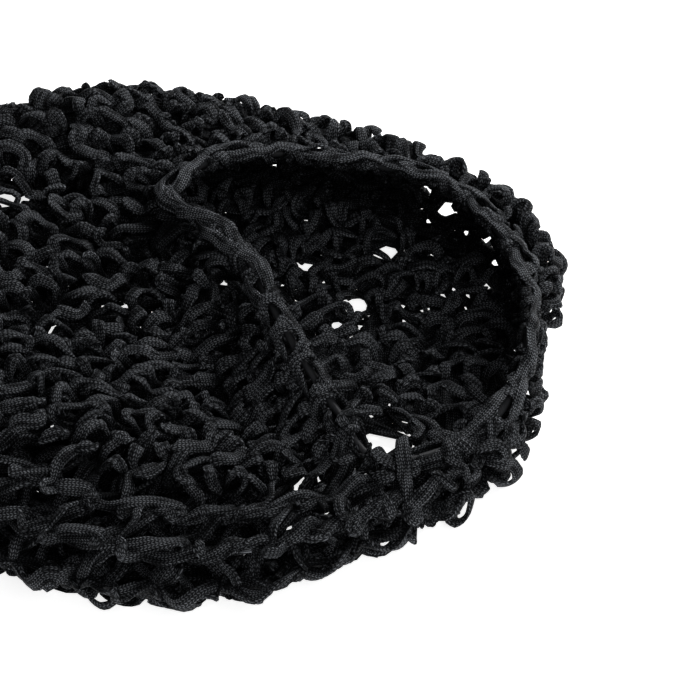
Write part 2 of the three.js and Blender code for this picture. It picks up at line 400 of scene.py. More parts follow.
TUCKED_STITCH = [
    Step(-0.36, 0.00, -2.0, 0.0, -0.2, 1.0, 0.85),
    Step(-0.34, 0.24, 1.2, -0.2, -0.2, 1.0, 1.0),
    Step(-0.32, 0.58, 3.4, 0.0, 0.0, 1.0, 1.1),
    Step(-0.14, 0.90, 3.2, 0.0, 0.3, 1.0, 1.0),
    Step(0.08, 1.10, 0.8, 0.3, 0.9, 0.4, 0.85),
    Step(0.22, 0.98, -2.2, 0.0, 0.4, -1.0, 0.85),
    Step(0.24, 0.70, -3.0, 0.2, 0.0, -1.0, 0.95),
    Step(0.12, 0.44, -1.4, 0.8, -0.4, -0.4, 0.85),
    Step(-0.02, 0.24, 1.6, 0.6, -0.4, 0.7, 0.95),
    Step(0.04, 0.00, 3.8, 0.1, -0.2, 1.0, 1.1),
    Step(0.22, -0.12, 2.6, 0.0, -0.2, 1.0, 1.05),
    Step(0.36, 0.02, 0.0, 0.3, 0.0, 1.0, 0.9),
    Step(0.46, 0.12, -2.2, 0.3, 0.0, 1.0, 0.85),
    Step(0.56, 0.02, -2.6, 0.0, 0.0, 1.0, 0.85),
]
LOOPED_STITCH = [
    Step(-0.36, 0.05, -2.0, 0.0, 0.0, 1.0, 0.85),
    Step(-0.20, -0.10, 1.4, -0.3, -0.1, 1.0, 0.95),
    Step(0.02, -0.12, 3.6, 0.0, -0.2, 1.0, 1.1),
    Step(0.24, 0.10, 3.4, 0.2, 0.0, 1.0, 1.1),
    Step(0.28, 0.44, 2.2, 0.3, 0.0, 1.0, 0.95),
    Step(0.10, 0.74, 2.8, 0.0, 0.2, 1.0, 1.05),
    Step(-0.14, 0.90, 1.2, -0.2, 0.5, 0.9, 0.95),
    Step(-0.24, 1.04, -1.6, -0.4, 0.9, 0.0, 0.85),
    Step(-0.10, 1.08, -3.2, 0.0, 0.4, -1.0, 0.85),
    Step(0.10, 0.86, -3.0, 0.0, 0.0, -1.0, 0.95),
    Step(0.16, 0.56, -3.0, 0.0, 0.0, -1.0, 1.0),
    Step(0.24, 0.26, -3.0, 0.0, -0.3, -1.0, 0.95),
    Step(0.36, 0.08, -2.4, 0.2, -1.0, -0.2, 0.8),
    Step(0.52, 0.04, -2.0, 0.2, -0.6, 0.8, 0.85),
]
# A stitch seen in a mirror runs through its steps backward, and enters and leaves the row at the same shares
MIRROR_SHIFT = 0.2
STITCH_TABLES = np.array([LEANING_STITCH, TUCKED_STITCH, LOOPED_STITCH])
MIRRORED_TABLES = STITCH_TABLES[:, ::-1] * (-1, 1, 1, -1, 1, 1, 1) + (MIRROR_SHIFT, 0, 0, 0, 0, 0, 0)
SHORT_STITCHES = np.concatenate([STITCH_TABLES, MIRRORED_TABLES])
# A long stitch of the open rows: a wide strand along the row, then a crossed post
LONG_STITCH = [
    Step(-0.44, 0.02, -0.4, 0.0, 0.0, 1.0, 0.9),
    Step(-0.32, -0.12, 2.2, 0.0, -0.3, 1.0, 1.2),
    Step(-0.17, -0.02, 2.6, 0.0, -0.2, 1.0, 1.1),
    Step(-0.12, 0.14, 0.6, 0.0, 0.2, 1.0, 0.85),
    Step(0.00, 0.48, 2.2, 0.0, 0.0, 1.0, 1.0),
    Step(0.12, 0.88, 1.6, 0.0, 0.4, 1.0, 0.95),
    Step(0.10, 1.12, -0.6, 0.0, 1.0, 0.0, 0.85),
    Step(-0.06, 1.02, -2.6, 0.0, 0.2, -1.0, 0.85),
    Step(-0.10, 0.80, 0.8, 0.3, 0.2, 1.0, 0.9),
    Step(0.00, 0.46, -0.6, 0.2, 0.0, 1.0, 1.0),
    Step(0.14, 0.14, 1.2, 0.0, -0.4, 1.0, 0.95),
    Step(0.16, -0.10, 3.0, 0.2, -0.2, 1.0, 1.05),
    Step(0.26, 0.10, 2.2, 0.3, 0.2, 1.0, 1.0),
    Step(0.42, 0.06, -1.2, 0.0, -0.2, 1.0, 0.95),
]
# The two strands that run along a row, the second of open rows only
CHAIN = [
    Step(0.00, 0.06, 1.4, 0.0, 0.0, 1.0, 0.85),
    Step(0.25, -0.08, 1.8, 0.0, -0.3, 1.0, 1.1),
    Step(0.50, 0.00, -0.6, 0.0, 0.0, 1.0, 0.9),
    Step(0.75, 0.08, -1.8, 0.0, 0.4, 1.0, 0.9),
]
CHAIN_ABOVE = [
    Step(0.12, 0.10, 0.4, 0.0, 0.3, 1.0, 0.95),
    Step(0.40, 0.20, 2.6, 0.0, 0.2, 1.0, 1.15),
    Step(0.66, 0.02, 2.8, 0.0, -0.2, 1.0, 1.1),
    Step(0.90, -0.06, 0.6, 0.0, -0.3, 1.0, 0.9),
]
# Where the net lies double: the strand behind the stitches, and the two in the middle of the wall
BACKING = [
    Step(0.00, 0.48, -3.0, 0.0, 0.0, 1.0, 1.2),
    Step(0.25, 0.38, -3.8, 0.0, -0.2, 1.0, 1.45),
    Step(0.50, 0.52, -3.2, 0.0, 0.0, 1.0, 1.3),
    Step(0.75, 0.62, -3.8, 0.0, 0.2, 1.0, 1.4),
]
CORES = [
    [Step(0.00, 0.20, -0.6, 0.0, 0.0, 1.0, 1.2), Step(0.50, 0.05, -1.0, 0.0, 0.0, 1.0, 1.4)],
    [Step(0.00, 0.75, -1.0, 0.0, 0.0, 1.0, 1.4), Step(0.50, 0.90, -0.6, 0.0, 0.0, 1.0, 1.2)],
]
# Three strands that lie on the table under each row of the folded crown
TABLE_STRANDS = [
    [Step(0.00, 0.16, -2.8, 0.0, 0.0, 1.0, 1.4), Step(0.50, 0.08, -2.4, 0.0, 0.0, 1.0, 1.4)],
    [Step(0.00, 0.42, -2.4, 0.0, 0.0, 1.0, 1.4), Step(0.50, 0.50, -2.8, 0.0, 0.0, 1.0, 1.4)],
    [Step(0.00, 0.84, -2.8, 0.0, 0.0, 1.0, 1.4), Step(0.50, 0.76, -2.4, 0.0, 0.0, 1.0, 1.4)],
]
# How freely each kind of stitch turns in the net, and how much less evenly the long strands lie
SHORT_FREEDOM = 1.0
LONG_FREEDOM = 0.5
LONG_UNEVEN = 2.0
# Unevenness from step to step and from stitch to stitch, in the units of the tables
Uneven = namedtuple("Uneven", "along height up out width twist")
STEP_UNEVEN = Uneven(0.05, 0.0, 0.06, 0.4, 0.09, 0.16)
STITCH_UNEVEN = Uneven(0.0, 0.1, 0.05, 0.7, 0.12, 0.24)
# Shares of its usual width that the ribbon is drawn and spread to
NARROWEST = 0.65
WIDEST = 1.35
# Share of the row's height that a stitch turns about
STITCH_MIDDLE = 0.45
# The ribbon lies narrow where it runs behind the net
BACK_DEPTH = -1.5
BACK_WIDTH = 0.78
# How much more the ribbon folds at its bends than the tables say, as a power of its width
FOLDING = 1.7
# Both ends of a ribbon: parts over which it draws in, the share of its width that is left, how deep it dives
TAIL_STEPS = 6
TAIL_WIDTH = 0.4
TAIL_DIVE = 2.5
# Parts between two steps, of the stitches and of the strands that hardly show
STEP_PARTS = 4
HIDDEN_PARTS = 2
# Columns of the control values that are read by number: a step's first two, and the twist after its last
ALONG = 0
UP = 1
TWIST = 7
# Share of the way round the bag over which a row's direction is taken
LOOK_AHEAD = 0.002

# Unevenness of the knitted edges: share of the width, and how fast it comes and goes along the ribbon
RIPPLE = 0.07
RIPPLES = 2.9
# Where the ribbon bends within its own flat: its width to the bend's radius, and the least share it keeps
BEND_WIDTH = 1.6
BEND_LEAST = 0.55
# How often the turning of the ribbon's flat is smoothed
FLAT_PASSES = 3
# Millimetres of ribbon between two ribbons in the map
RIBBON_SPACING = 7.0
# Painted depth shade: millimetres out of the net's middle where the ribbon is painted darkest, as shade deep
# in the net, and where it is painted fully lit
PAINTED_DARK_DEPTH = -0.8
PAINTED_LIT_DEPTH = 3.4
# Cross-section of the ribbon: across in half widths, out in half thicknesses
RIBBON_OVAL = np.array(
    [(1, 0), (0.8, 0.75), (0.3, 1), (-0.3, 1), (-0.8, 0.75), (-1, 0), (-0.5, -0.95), (0.5, -0.95)]
)

# Places where the crochet is pulled open, from above
Gap = namedtuple("Gap", "x y z radius")
GAPS = [
    Gap(66, 58, 4, 4.8),
    Gap(39, 50, 4, 3.5),
    Gap(27, 32, 4, 3.5),
    Gap(55, 28, 4, 4.4),
    Gap(49, 19, 4, 2.5),
    Gap(60, -29, 4, 2.5),
    Gap(62, -42, 4, 10),
    Gap(76, 31, 4, 1.2),
    Gap(84, 34, 4, 1.2),
    Gap(93, 34, 4, 1.4),
    Gap(102, 29, 5, 2.2),
    Gap(81, 21, 4, 1.2),
    Gap(98, 40, 6, 2),
    Gap(80, 56, 30, 2.5),
    Gap(86, 50, 28, 3.2),
    Gap(106, 36, 27, 2.5),
    Gap(109, 26, 20, 2.2),
    Gap(-65, 44, 35, 4.5),
    Gap(-73, 88, 3, 7),
    Gap(37, -81, 27, 2.2),
    Gap(37, -56, 4, 3),
]
# Gaps through the steep wall at the back right, which run outward and down
WALL_SLANT = np.array([0.0, 0.743, -0.669])
WALL_GAPS = [
    Gap(81, 75, 16, 2.6),
    Gap(87, 71, 11.5, 2.9),
    Gap(94, 61, 8, 1.8),
    Gap(105.7, 48.7, 15, 3.0),
    Gap(110, 43, 12, 2.3),
    Gap(105, 48, 5, 2.2),
]
# Radii over which a gap pushes the ribbon aside, how much further it draws it in and to what width, how far
# to one side it pushes what runs through its middle, and how deep it goes each way
GAP_REACH = 2.1
GAP_MARGIN = 5
GAP_WIDTH = 2.8
GAP_TIE = 0.3
GAP_DEPTH = 6

# Places where the net lies double and shows no table through it
Thick = namedtuple("Thick", "x y radius_x radius_y")
THICKS = [
    Thick(5, 84, 90, 44),
    Thick(98, 45, 34, 34),
]

# Places where the net sinks in, and its ribbon lies narrow
Hollow = namedtuple("Hollow", "x y radius_x radius_y depth")
HOLLOWS = [
    Hollow(-12, 30, 34, 14, 5),
    Hollow(12, -12, 12, 26, 3),
]
HOLLOW_NARROWING = 0.035

# The net stops this far from the middle of the edging, and dips under it from further off
MOUTH_ROOM = 3.5
MOUTH_TUCK = 2.6
MOUTH_TUCK_REACH = 9
# In front on the right it lies over the edging instead: between which sections, where the net stops there,
# how far it rises, what it adds to the last row, and how deep the edging lies under it
COVER_SECTIONS = (10.4, 11.3, 12.9, 13.5)
COVER_ROOM = -4.5
COVER_RISE = 3.2
COVER_EXTRA = 0.5
COVER_SINK = 2.5

# Rows before this one are there only where the net lies double
FIRST_WHOLE_ROW = -1
# The last row at the edging: its least share of a row, its least height, and how high its heads reach
SHORTEST_ROW = 0.6
SHORTEST_RISE = 3.0
HEAD_HEIGHT = 1.12
# The fewest stitches that a row has, near the middle of the folded crown
FEWEST_STITCHES = 3


def mouth_cover(turn):
    """1 where the net lies over the edging, 0 where it stops at it."""
    return np.interp(turn % 1.0 * len(SECTIONS), COVER_SECTIONS, (0, 1, 1, 0))


def front_share(points, row):
    """1 in the open rows along the front, 0 elsewhere."""
    if row.folded or row.number >= FRONT_ROWS:
        return np.zeros(len(points))
    return np.clip((FRONT_LINE - points[:, 1]) / FRONT_BLEND, 0, 1)


def runs_of(kept):
    """Runs of neighbours that are kept in a closed row: first stitch, count, and whether it is all of it."""
    count = len(kept)
    if kept.all():
        return [(0, count, True)]
    runs = []
    first = int(np.argmin(kept))
    length = 0
    for n in range(first, first + count + 1):
        if n < first + count and kept[n % count]:
            length += 1
            continue
        if length:
            runs.append((n - length, length, False))
        length = 0
    return runs


def smooth_steps(values, parts):
    """Catmull-Rom through rows of values, with even parts between two rows."""
    padded = np.concatenate([2 * values[:1] - values[1:2], values, 2 * values[-1:] - values[-2:-1]])
    share = (np.arange(parts) / parts)[None, :, None]
    before, start, end, after = (padded[n : len(padded) - 3 + n, None] for n in range(4))
    leave, arrive = (end - before) / 2, (after - start) / 2
    inner = cubic(start, end, leave, arrive, share)
    return np.concatenate([inner.reshape(-1, values.shape[1]), values[-1:]])


def sinking(points):
    """How deep the net sinks in at each point."""
    depth = np.zeros(len(points))
    for hollow in HOLLOWS:
        depth += hollow.depth * np.exp(-off_middle(points, hollow)) * (points[:, 2] > FOLD_FLOOR)
    return depth


def is_thick(points):
    """Whether the net lies double at each point."""
    return np.any([off_middle(points, place) < 1 for place in THICKS], axis=0)


def open_gaps(points, widths):
    """Pushes the ribbon sideways away from the middles of the gaps, and narrows it there."""
    ahead = unit(np.gradient(points, axis=0))
    sideways = np.cross(ahead, UP_AXIS)
    for gap in GAPS + WALL_GAPS:
        run = WALL_SLANT if gap in WALL_GAPS else UP_AXIS
        away = points - np.array([gap.x, gap.y, gap.z], float)
        away -= run * np.clip(away @ run, -GAP_DEPTH, GAP_DEPTH)[:, None]
        distance = np.linalg.norm(away, axis=1)
        near = np.clip(1 - distance / (gap.radius * GAP_REACH + GAP_MARGIN), 0, 1)
        drawn_in = GAP_WIDTH + (widths - GAP_WIDTH) * (1 - near) ** 2
        widths = np.where(widths > GAP_WIDTH, drawn_in, widths)
        side = beside(away, ahead) + sideways * GAP_TIE
        side -= run * (side @ run)[:, None]
        push = gap.radius * np.clip(1 - distance / (gap.radius * GAP_REACH), 0, 1)
        points = points + unit(side) * push[:, None]
    return points, widths


def narrowed(widths, tangent, across, length):
    """Widths of a ribbon, less where it bends within its own flat, with the ripple of its knitted edges."""
    bend = np.gradient(tangent, axis=0) / np.maximum(np.gradient(length), SMALL)[:, None]
    sideways = np.maximum(np.abs(np.sum(bend * across, axis=1)), SMALL)
    widths = np.clip(BEND_WIDTH / sideways, widths * BEND_LEAST, widths)
    return blurred(widths) / 4 * (1 + RIPPLE * np.sin(length * RIPPLES))


class RibbonMesh:
    """Joins swept ribbons into one mesh, with a map of their length and width in millimetres and a second map
    of their painted depth shade.
    """

    def __init__(self):
        self.corners = []
        self.faces = []
        self.maps = []
        self.painted_lights = []
        self.count = 0
        self.start = 0.0

    def sweep(self, points, faces_out, widths, thickness, out):
        """Adds one ribbon. out: how far out of the net's middle it lies, in millimetres, which also sets its
        painted depth shade.
        """
        tangent = unit(np.gradient(points, axis=0))
        flat = unit(beside(faces_out, tangent))
        for _ in range(FLAT_PASSES):
            flat = unit(beside(blurred(flat), tangent))
        across = np.cross(tangent, flat)
        length = running_length(points)
        widths = narrowed(widths, tangent, across, length)
        oval_x, oval_y = RIBBON_OVAL[:, 0], RIBBON_OVAL[:, 1]
        sides = len(RIBBON_OVAL)
        half = (widths / 2)[:, None, None]
        corners = (
            points[:, None]
            + across[:, None] * (oval_x[None, :, None] * half)
            + flat[:, None] * (oval_y[None, :, None] * thickness / 2)
        )
        steps = len(points)
        rows = np.arange(steps - 1)
        row, side = (grid.ravel() for grid in np.meshgrid(rows, np.arange(sides), indexing="ij"))
        following = (side + 1) % sides
        ahead = row + 1
        starts = [row * sides, ahead * sides, ahead * sides, row * sides]
        quads = np.column_stack(starts) + np.column_stack([following, following, side, side])
        self.faces.append(quads + self.count)
        u_near, u_far = self.start + length[row], self.start + length[ahead]
        v_here, v_next = oval_x[side] * widths[row] / 2, oval_x[following] * widths[row] / 2
        quad_map = np.column_stack([u_near, v_next, u_far, v_next, u_far, v_here, u_near, v_here])
        self.maps.append(quad_map.reshape(-1, 2))
        # Painted depth shade: the share of painted light, none deep in the net and full out of it
        lift = np.clip((out - PAINTED_DARK_DEPTH) / (PAINTED_LIT_DEPTH - PAINTED_DARK_DEPTH), 0, 1)
        quad_painted_light = np.zeros((len(row), 4, 2))
        quad_painted_light[:, :, 0] = np.column_stack([lift[row], lift[ahead], lift[ahead], lift[row]])
        self.painted_lights.append(quad_painted_light.reshape(-1, 2))
        self.corners.append(corners.reshape(-1, 3))
        self.count += steps * sides
        self.start += length[-1] + RIBBON_SPACING

    def build(self, name):
        """The joined ribbons as a mesh in metres, none of it lower than the table."""
        corners = np.concatenate(self.corners)
        corners[:, 2] = np.maximum(corners[:, 2], TABLE_CLEARANCE)
        faces = np.concatenate(self.faces)
        mesh = bpy.data.meshes.new(name)
        mesh.vertices.add(len(corners))
        mesh.vertices.foreach_set("co", (corners * MM).astype(np.float32).ravel())
        mesh.loops.add(faces.size)
        mesh.loops.foreach_set("vertex_index", faces.astype(np.int32).ravel())
        mesh.polygons.add(len(faces))
        mesh.polygons.foreach_set("loop_start", np.arange(len(faces), dtype=np.int32) * 4)
        for layer_name, maps in (("ribbon", self.maps), ("lift", self.painted_lights)):
            layer = mesh.uv_layers.new(name=layer_name)
            layer.data.foreach_set("uv", np.concatenate(maps).astype(np.float32).ravel())
        mesh.update(calc_edges=True)
        mesh.validate()
        mesh.shade_smooth()
        return mesh


class RowWork:
    """Crochets one row into a mesh of ribbons."""

    def __init__(self, ribbon, row, settings, rng):
        self.ribbon = ribbon
        self.row = row
        self.settings = settings
        self.rng = rng
        self.turns = np.arange(TURNS + 1) / TURNS
        line, _ = row.middle(self.turns, np.zeros(TURNS + 1))
        share = front_share((line[1:] + line[:-1]) / 2, row)
        lengths = (settings.stitch_length * (1 - share) + settings.long_stitch_length * share) / MM
        self.count = running_length(line, lengths)
        self.stitches = max(FEWEST_STITCHES, int(round(self.count[-1])))
        self.count *= self.stitches / self.count[-1]

    def turn_at(self, place):
        """The turn round the bag at any place along the row, counted in stitches."""
        turn = np.interp(place % self.stitches, self.count, self.turns)
        return turn + np.floor(place / self.stitches)

    def crochet(self):
        """Lays the stitches, the strands along them, and those inside the wall where it is double."""
        turns = self.turn_at(np.arange(self.stitches) + 0.5)
        spots, _ = self.row.middle(turns, np.zeros(self.stitches))
        shortest = SHORTEST_ROW - COVER_EXTRA * mouth_cover(turns)
        kept = self.row.room(turns) > self.settings.row_height / MM * shortest
        if self.row.number < FIRST_WHOLE_ROW:
            kept &= is_thick(spots)
        long = front_share(spots, self.row) > 0.5
        kinds = self.rng.integers(0, len(SHORT_STITCHES), self.stitches)
        table = np.where(long[:, None, None], np.array(LONG_STITCH), SHORT_STITCHES[kinds])
        freedom = np.where(long, LONG_FREEDOM, SHORT_FREEDOM)[:, None]
        uneven = np.where(long, LONG_UNEVEN, 1.0)[:, None]
        for start, length, closed in runs_of(kept):
            chosen = np.arange(start, start + length) % self.stitches
            run = self.controls(table[chosen], freedom[chosen], uneven[chosen], start, closed)
            self.lay(run, STEP_PARTS)
        close = kept & is_thick(spots) & (not self.row.folded)
        self.lay_strand(CHAIN, kept & long | close, STEP_PARTS, LONG_UNEVEN)
        self.lay_strand(CHAIN_ABOVE, kept & long, STEP_PARTS, LONG_UNEVEN)
        for strand in (BACKING, *CORES):
            self.lay_strand(strand, close, HIDDEN_PARTS)

    def lay_on_table(self):
        """Lays the strands that the folded crown rests on."""
        for strand in TABLE_STRANDS:
            self.lay_strand(strand, np.ones(self.stitches, bool), HIDDEN_PARTS)

    def lay_strand(self, strand, wanted, parts, uneven=1.0):
        """Lays one strand along the wanted stitches."""
        for start, length, closed in runs_of(wanted):
            table = np.tile(np.array(strand), (length, 1, 1))
            run = self.controls(table, np.zeros((length, 1)), uneven, start, closed)
            self.lay(run, parts)

    def controls(self, table, freedom, uneven, start, closed):
        """Control values of the ribbon through a run of stitches, whose steps are stacked in table."""
        loose = self.settings.looseness
        length, steps = table.shape[:2]

        def by_step(spread):
            return self.rng.normal(0, spread, (length, steps))

        def by_stitch(spread):
            return self.rng.normal(0, spread, (length, 1))

        values = np.zeros((length, steps, TWIST + 1))
        values[:, :, :TWIST] = table
        along, up, out, _, _, _, width, twist = np.moveaxis(values, 2, 0)
        along += (start + np.arange(length) + 0.5)[:, None]
        turned = by_stitch(self.settings.turning) * freedom
        rise = table[:, :, UP] - STITCH_MIDDLE
        along += (np.cos(turned) - 1) * table[:, :, ALONG] + np.sin(turned) * rise
        up[:] = STITCH_MIDDLE + np.cos(turned) * rise - np.sin(turned) * table[:, :, ALONG]
        along += by_step(STEP_UNEVEN.along * loose)
        up *= 1 + by_stitch(STITCH_UNEVEN.height * loose)
        up += by_step(STEP_UNEVEN.up * loose) + by_stitch(STITCH_UNEVEN.up * loose)
        width **= FOLDING
        width *= np.where(out < BACK_DEPTH, 1 - freedom * (1 - BACK_WIDTH), 1)
        out *= 1 + (self.settings.relief - 1) * freedom
        out += by_step(STEP_UNEVEN.out * loose) + by_stitch(STITCH_UNEVEN.out * loose)
        width *= 1 + by_step(STEP_UNEVEN.width) * uneven
        width *= 1 + by_stitch(STITCH_UNEVEN.width) * uneven
        twist += by_step(STEP_UNEVEN.twist * loose) * uneven
        twist += by_stitch(STITCH_UNEVEN.twist * loose) * uneven
        values = values.reshape(-1, TWIST + 1)
        if closed:
            last = values[:1].copy()
            last[:, ALONG] += length
            values = np.concatenate([values, last])
        return values

    def lay(self, controls, parts):
        """Sweeps the ribbon through control values that are given in the row's own directions."""
        row, settings = self.row, self.settings
        along, up, out, face_along, face_up, face_out, width, twist = smooth_steps(controls, parts).T
        turn = self.turn_at(along)
        up = np.minimum(up * row.rise(turn), row.limit(turn))
        points, normals = row.middle(turn, up)
        cover = mouth_cover(turn)
        shift = COVER_RISE * cover - MOUTH_TUCK * (1 - cover)
        out = out + shift * np.clip(1 - (row.room(turn) - up) / MOUTH_TUCK_REACH, 0, 1)
        out -= sinking(points)
        if row.number <= SCALLOPED_ROW:
            out += SCALLOP * front_share(points, row) * np.cos(along * math.tau)
        ahead, _ = row.middle(turn + LOOK_AHEAD, up)
        behind, _ = row.middle(turn - LOOK_AHEAD, up)
        higher, _ = row.middle(turn, up + 1)
        onward = unit(ahead - behind)
        upward = np.cross(normals, onward)
        upward = upward * np.where(np.sum(upward * (higher - points), axis=1, keepdims=True) < 0, -1, 1)
        widths = np.clip(width, NARROWEST, WIDEST) * settings.ribbon_width / MM
        widths = widths * (1 - HOLLOW_NARROWING * sinking(points)) * row.spread
        steps = np.arange(len(out))
        tail = np.minimum(np.minimum(steps, steps[::-1]) / TAIL_STEPS, 1)
        widths = widths * (TAIL_WIDTH + (1 - TAIL_WIDTH) * tail)
        out = out - TAIL_DIVE * (1 - tail)
        points, widths = open_gaps(points + normals * out[:, None], widths)
        face = onward * face_along[:, None] + upward * face_up[:, None] + normals * face_out[:, None]
        face = unit(face)
        tangent = unit(np.gradient(points, axis=0))
        face = face * np.cos(twist)[:, None] + np.cross(tangent, face) * np.sin(twist)[:, None]
        # The ribbon's painted depth shade follows how far out of the net it lies
        self.ribbon.sweep(points, face, widths, settings.ribbon_thickness / MM, out + row.lift)


# Pieces of the net and the rows that each holds, as distances from the outline or from the contact with
# the table, in rows
Rows = namedtuple("Rows", "name kind work first last")
NET_PIECES = [
    Rows("net_turned_edge", UpperRow, RowWork.crochet, -2, -1),
    Rows("net_outline_rows", UpperRow, RowWork.crochet, 0, 1),
    Rows("net_outer_rows", UpperRow, RowWork.crochet, 2, 3),
    Rows("net_middle_rows", UpperRow, RowWork.crochet, 4, 5),
    Rows("net_lip_rows", UpperRow, RowWork.crochet, 6, 13),
    Rows("net_under_outer", UnderRow, RowWork.crochet, 0, 2),
    Rows("net_under_inner", UnderRow, RowWork.crochet, 3, 8),
    Rows("net_on_table", UnderRow, RowWork.lay_on_table, 0, 8),
]


# How a pattern's value is stretched: times gain, less start, then kept between least and most
Ramp = namedtuple("Ramp", "gain start least most")


class Wire:
    """A shader socket that takes part in Python arithmetic."""

    def __init__(self, shader, socket):
        self.shader = shader
        self.socket = socket

    def math(self, operation, first, second=0.0):
        return self.shader.add("ShaderNodeMath", {"operation": operation}, {0: first, 1: second})

    def __add__(self, other):
        return self.math("ADD", self, other)

    __radd__ = __add__

    def __sub__(self, other):
        return self.math("SUBTRACT", self, other)

    def __rsub__(self, other):
        return self.math("SUBTRACT", other, self)

    def __mul__(self, other):
        return self.math("MULTIPLY", self, other)

    __rmul__ = __mul__

    def __truediv__(self, other):
        return self.math("DIVIDE", self, other)

    def __abs__(self):
        return self.math("ABSOLUTE", self)

    def fraction(self):
        return self.math("FRACT", self)

    def sine(self):
        return self.math("SINE", self)

    def wave(self):
        """Falls from 1 to 0 and rises back, once for every whole step."""
        return self.math("COSINE", self * math.tau) * 0.5 + 0.5

    def ramp(self, ramp):
        stretched = self * ramp.gain - ramp.start
        return self.math("MINIMUM", self.math("MAXIMUM", stretched, ramp.least), ramp.most)

    def output(self, name):
        return Wire(self.shader, self.socket.node.outputs[name])


class Shader:
    """Nodes of one material, added one at a time."""

    def __init__(self, name):
        self.material = bpy.data.materials.new(name)
        self.material.use_nodes = True
        self.tree = self.material.node_tree
        self.tree.nodes.clear()

    def add(self, kind, settings=None, sockets=None, output=0):
        """A node's output, after its settings are set and then the values or links of its sockets."""
        node = self.tree.nodes.new(kind)
        for name, value in (settings or {}).items():
            setattr(node, name, value)
        for key, value in (sockets or {}).items():
            if isinstance(value, Wire):
                self.tree.links.new(value.socket, node.inputs[key])
            else:
                node.inputs[key].default_value = value
        return Wire(self, node.outputs[output]) if node.outputs else None

    def mix(self, factor, first, second):
        return self.add("ShaderNodeMix", {"data_type": "RGBA"}, {0: factor, 6: first, 7: second}, output=2)

    def map(self, name):
        """A map of the mesh as X, with its other half in the output Y."""
        place = self.add("ShaderNodeUVMap", {"uv_map": name})
        return self.add("ShaderNodeSeparateXYZ", None, {0: place})

    def noise(self, vector, scale, detail):
        return self.add("ShaderNodeTexNoise", None, {"Vector": vector, "Scale": scale, "Detail": detail})

    def bump(self, height, strength, distance):
        sockets = {"Strength": strength, "Distance": distance, "Height": height}
        return self.add("ShaderNodeBump", None, sockets)

    def finish(self, surface):
        """The material, with these values in its surface."""
        shaded = self.add("ShaderNodeBsdfPrincipled", None, surface)
        self.add("ShaderNodeOutputMaterial", None, {"Surface": shaded})
        return self.material


def opaque(colour, factor=1.0):
    """A colour times a factor, without any transparency."""
    return (colour[0] * factor, colour[1] * factor, colour[2] * factor, 1.0)


# Knit columns that are added so that none is negative, with the middle of one in the middle of the ribbon
KNIT_SHIFT = 40.5
# How far the legs of a chevron lean, in knit stitches, and how sharply its crests stand out
KNIT_LEAN = 0.9
KNIT_RAMP = Ramp(3.2, 1.25, 0.0, 1.0)
# Folds that run along the ribbon: how often they change along and across it, and the painted shade in their
# valleys and painted light on their ridges
FOLD_ALONG = 0.13
FOLD_ACROSS = 0.62
FOLD_PAINTED_SHADE = Ramp(4.4, 1.4, 0.2, 1.35)
# Fibre and patches: noise to a metre, how much it varies the crests and what it adds to them
FIBRE_SCALE = 900.0
FIBRE_GAIN = 2.2
FIBRE_BASE = -0.1
PATCH_SCALE = 70.0
PATCH_GAIN = 1.2
PATCH_BASE = 0.4
# Lightness of the painted shade in the grooves, their roughness, and how much smoother the crests are
GROOVE_SHADE = 0.08
GROOVE_ROUGHNESS = 0.62
CREST_POLISH = 0.12
# Relief of the fibre and the folds beside that of the knit stitches
FIBRE_RELIEF = 0.2
FOLD_RELIEF = 3.0


def knit_material(name, settings, painted_lightness=1.0):
    """Flat knitted ribbon: columns of chevrons along it, their crests painted light as highlight, their
    grooves and fold valleys painted as shade, and painted shade deep in the net.
    """
    shader = Shader(name)
    along = shader.map("ribbon")
    across = along.output("Y")
    from_middle = abs((across / (settings.knit_column / MM) + KNIT_SHIFT).fraction() - 0.5) * 2
    course = (along / (settings.knit_course / MM) + from_middle * KNIT_LEAN).wave()
    stitch = (course * (from_middle * math.pi).sine()).ramp(KNIT_RAMP)
    folds = shader.add("ShaderNodeCombineXYZ", None, {0: along * FOLD_ALONG, 1: across * FOLD_ACROSS})
    crease = shader.noise(folds, scale=1.0, detail=1.0)
    spot = shader.add("ShaderNodeTexCoord", output="Object")
    patch = shader.noise(spot, PATCH_SCALE, detail=2.0)
    fibre = shader.noise(spot, FIBRE_SCALE, detail=3.0)
    # Painted shade: ribbon deep in the net is painted darker, and so are the grooves and fold valleys; the
    # crests are painted as highlight
    painted_light_share = shader.map("lift") * (1 - settings.painted_deep_shade) + settings.painted_deep_shade
    crest_highlight = stitch * (fibre * FIBRE_GAIN + FIBRE_BASE) * (patch * PATCH_GAIN + PATCH_BASE)
    shade = (crest_highlight + GROOVE_SHADE) * painted_light_share * crease.ramp(FOLD_PAINTED_SHADE)
    relief = stitch + fibre * FIBRE_RELIEF + crease * FOLD_RELIEF
    return shader.finish(
        {
            "Base Color": shader.mix(
                shade, opaque(settings.groove_shade_colour), opaque(settings.crest_highlight_colour, painted_lightness)
            ),
            "Roughness": GROOVE_ROUGHNESS - stitch * CREST_POLISH,
            "Specular IOR Level": settings.gloss,
            "Normal": shader.bump(relief, strength=0.8, distance=0.0004),
        }
    )


# The elastic's cover: winding in millimetres, patches to a metre, how much each lightens it, and its darkest
# and lightest shade
WINDING = 0.45
COVER_SCALE = 120.0
COVER_PATCHES = 0.6
COVER_WINDING = 0.3
COVER_DARK = 0.7
COVER_LIGHT = 1.3


